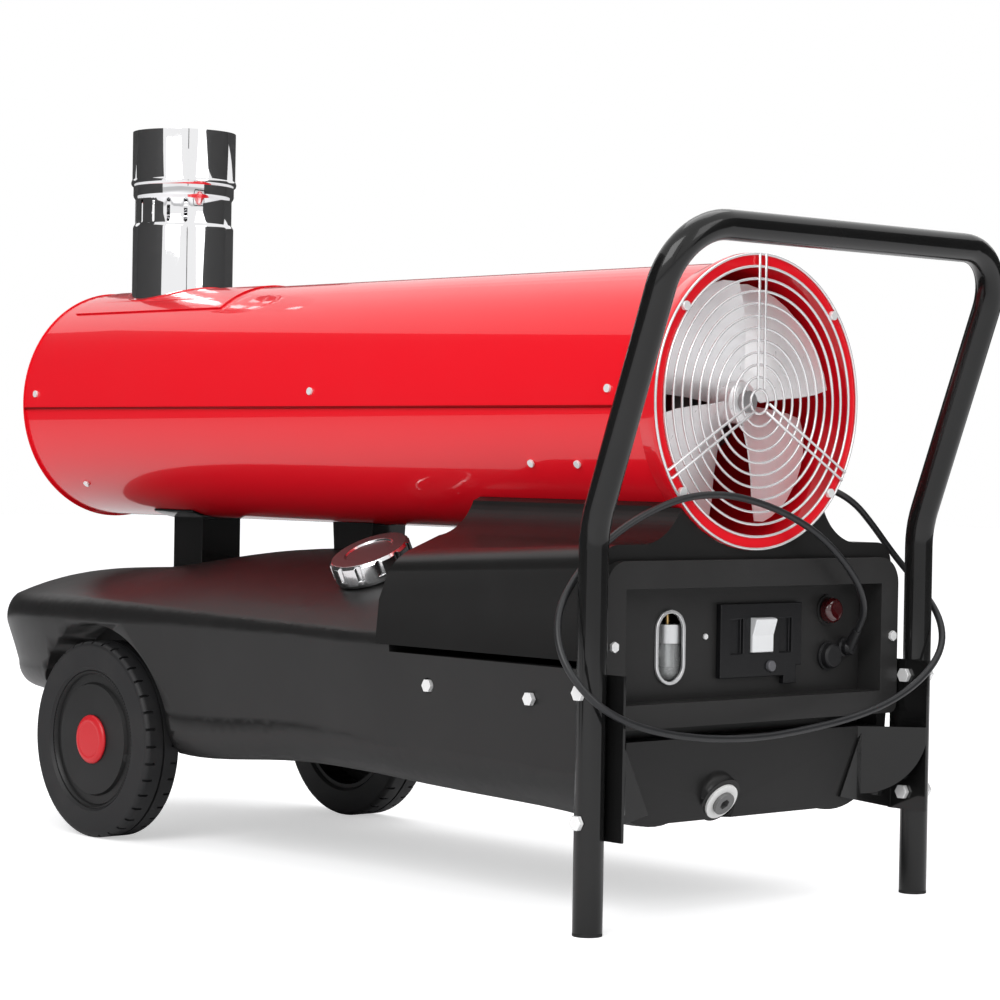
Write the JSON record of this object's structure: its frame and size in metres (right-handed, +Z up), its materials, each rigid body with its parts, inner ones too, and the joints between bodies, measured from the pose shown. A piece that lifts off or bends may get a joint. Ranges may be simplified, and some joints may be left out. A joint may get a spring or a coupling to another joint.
{
  "type": "forced air heater",
  "caption": "Mobile oil-fired forced air heater: red drum with fan guard and flue over a black moulded tank on wheels, with panel and push handle.",
  "frame": {"origin": "on the floor under the middle of the object's box", "axes": "+X from the warm air outlet to the control panel and handle, +Y to the side with the cord gland, +Z up"},
  "size_m": [1.253, 0.5283, 0.818],
  "materials": {
    "red_enamel": "glossy red enamel",
    "flue_steel": "polished stainless sheet",
    "furnace_steel": "heat-proof sheet, dull",
    "zinc_wire": "bright zinc plating on wire",
    "zinc_screw": "bright zinc plating",
    "fan_aluminium": "bright rolled aluminium",
    "motor_grey": "dark grey enamel",
    "pump_casting": "die casting",
    "fuel_brass": "drawn brass and copper",
    "tank_black": "blow-moulded, semi-gloss black",
    "cover_black": "moulded black with a fine grain",
    "panel_black": "moulded black",
    "tube_black": "semi-gloss black powder coat",
    "foot_black": "black moulding",
    "tyre_black": "solid black tyre",
    "wheel_black": "moulded black",
    "cap_red": "moulded red",
    "axle_steel": "drawn bar",
    "filler_chrome": "chromed cap",
    "seal_white": "white sealing ring",
    "plug_grey": "grey lacquered plug",
    "trim_chrome": "bright trim",
    "escutcheon_grey": "moulded, pale edges",
    "rocker_white": "moulded white",
    "button_grey": "moulded grey",
    "lamp_red": "translucent red cap",
    "socket_black": "moulded black",
    "filter_casting": "die casting",
    "bowl_glass": "clear bowl",
    "cord_rubber": "dark grey rubber sheath"
  },
  "bodies": {
    "heater": {"drum_upper_shell": "red_enamel", "drum_lower_shell": "red_enamel", "outlet_ring": "red_enamel", "inlet_ring": "red_enamel", "flue_saddle": "red_enamel", "drum_screws": "zinc_screw", "flue_base": "flue_steel", "flue_top": "flue_steel", "combustion_chamber": "furnace_steel", "heat_exchanger": "furnace_steel", "exchanger_stays": "furnace_steel", "burner_head": "furnace_steel", "swirl_disc": "furnace_steel", "fuel_nozzle": "fuel_brass", "fan_motor": "motor_grey", "motor_bracket": "furnace_steel", "fuel_pump": "pump_casting", "fan_guard": "zinc_wire", "fuel_tank": "tank_black", "drain_seal": "seal_white", "drain_plug": "plug_grey", "front_column": "tube_black", "middle_saddle": "tube_black", "axle": "axle_steel", "axle_blocks": "tank_black", "axle_sleeves": "socket_black", "axle_collars": "axle_steel", "handle_tube": "tube_black", "foot_caps": "foot_black", "leg_bolts": "zinc_screw", "leg_bracket_left": "tube_black", "leg_bracket_right": "tube_black", "housing_screws": "zinc_screw", "burner_cover": "cover_black", "panel_frame": "panel_black", "panel_plate": "panel_black", "window_trim": "trim_chrome", "switch_surround": "escutcheon_grey", "thermostat_socket": "socket_black", "cord_gland": "socket_black", "filter_head": "filter_casting", "filter_bowl": "bowl_glass", "fuel_pipes": "fuel_brass", "housing_base": "furnace_steel", "ignition_transformer": "motor_grey", "burner_control": "motor_grey", "power_cord": "cord_rubber", "cord_plug": "cord_rubber"},
    "fan": {"fan_wheel": "fan_aluminium", "motor_shaft": "axle_steel"},
    "wheel_left": {"wheel_disc_left": "wheel_black", "tyre_left": "tyre_black", "hub_cap_left": "cap_red"},
    "wheel_right": {"wheel_disc_right": "wheel_black", "tyre_right": "tyre_black", "hub_cap_right": "cap_red"},
    "rocker": {"rocker_switch": "rocker_white"},
    "reset_button": {"reset_button": "button_grey"},
    "reset_lamp": {"reset_lamp": "lamp_red"},
    "filler_cap": {"filler_cap": "filler_chrome"}
  },
  "joints": [
    {"name": "fan_spin", "type": "hinge", "parent": "heater", "child": "fan", "pos_m": [0.46, 0, 0.493], "axis": [1, 0, 0], "continuous": true},
    {"name": "wheel_left_spin", "type": "hinge", "parent": "heater", "child": "wheel_left", "pos_m": [-0.321, -0.185, 0.1105], "axis": [0, 1, 0], "continuous": true},
    {"name": "wheel_right_spin", "type": "hinge", "parent": "heater", "child": "wheel_right", "pos_m": [-0.321, 0.185, 0.1105], "axis": [0, 1, 0], "continuous": true},
    {"name": "rocker_tip", "type": "hinge", "parent": "heater", "child": "rocker", "pos_m": [0.4815, 0.03, 0.266], "axis": [0, 1, 0], "range_deg": [0, 18]},
    {"name": "reset_button_press", "type": "slide", "parent": "heater", "child": "reset_button", "axis": [-1, 0, 0], "range_m": [0, 0.0025], "stiffness_N_per_m": 400, "springref_m": -0.002},
    {"name": "reset_lamp_press", "type": "slide", "parent": "heater", "child": "reset_lamp", "axis": [-1, 0, 0], "range_m": [0, 0.003], "stiffness_N_per_m": 400, "springref_m": -0.002},
    {"name": "filler_cap_lift", "type": "slide", "parent": "heater", "child": "filler_cap", "axis": [0, -0.4384, 0.8988], "range_m": [0, 0.065]}
  ]
}
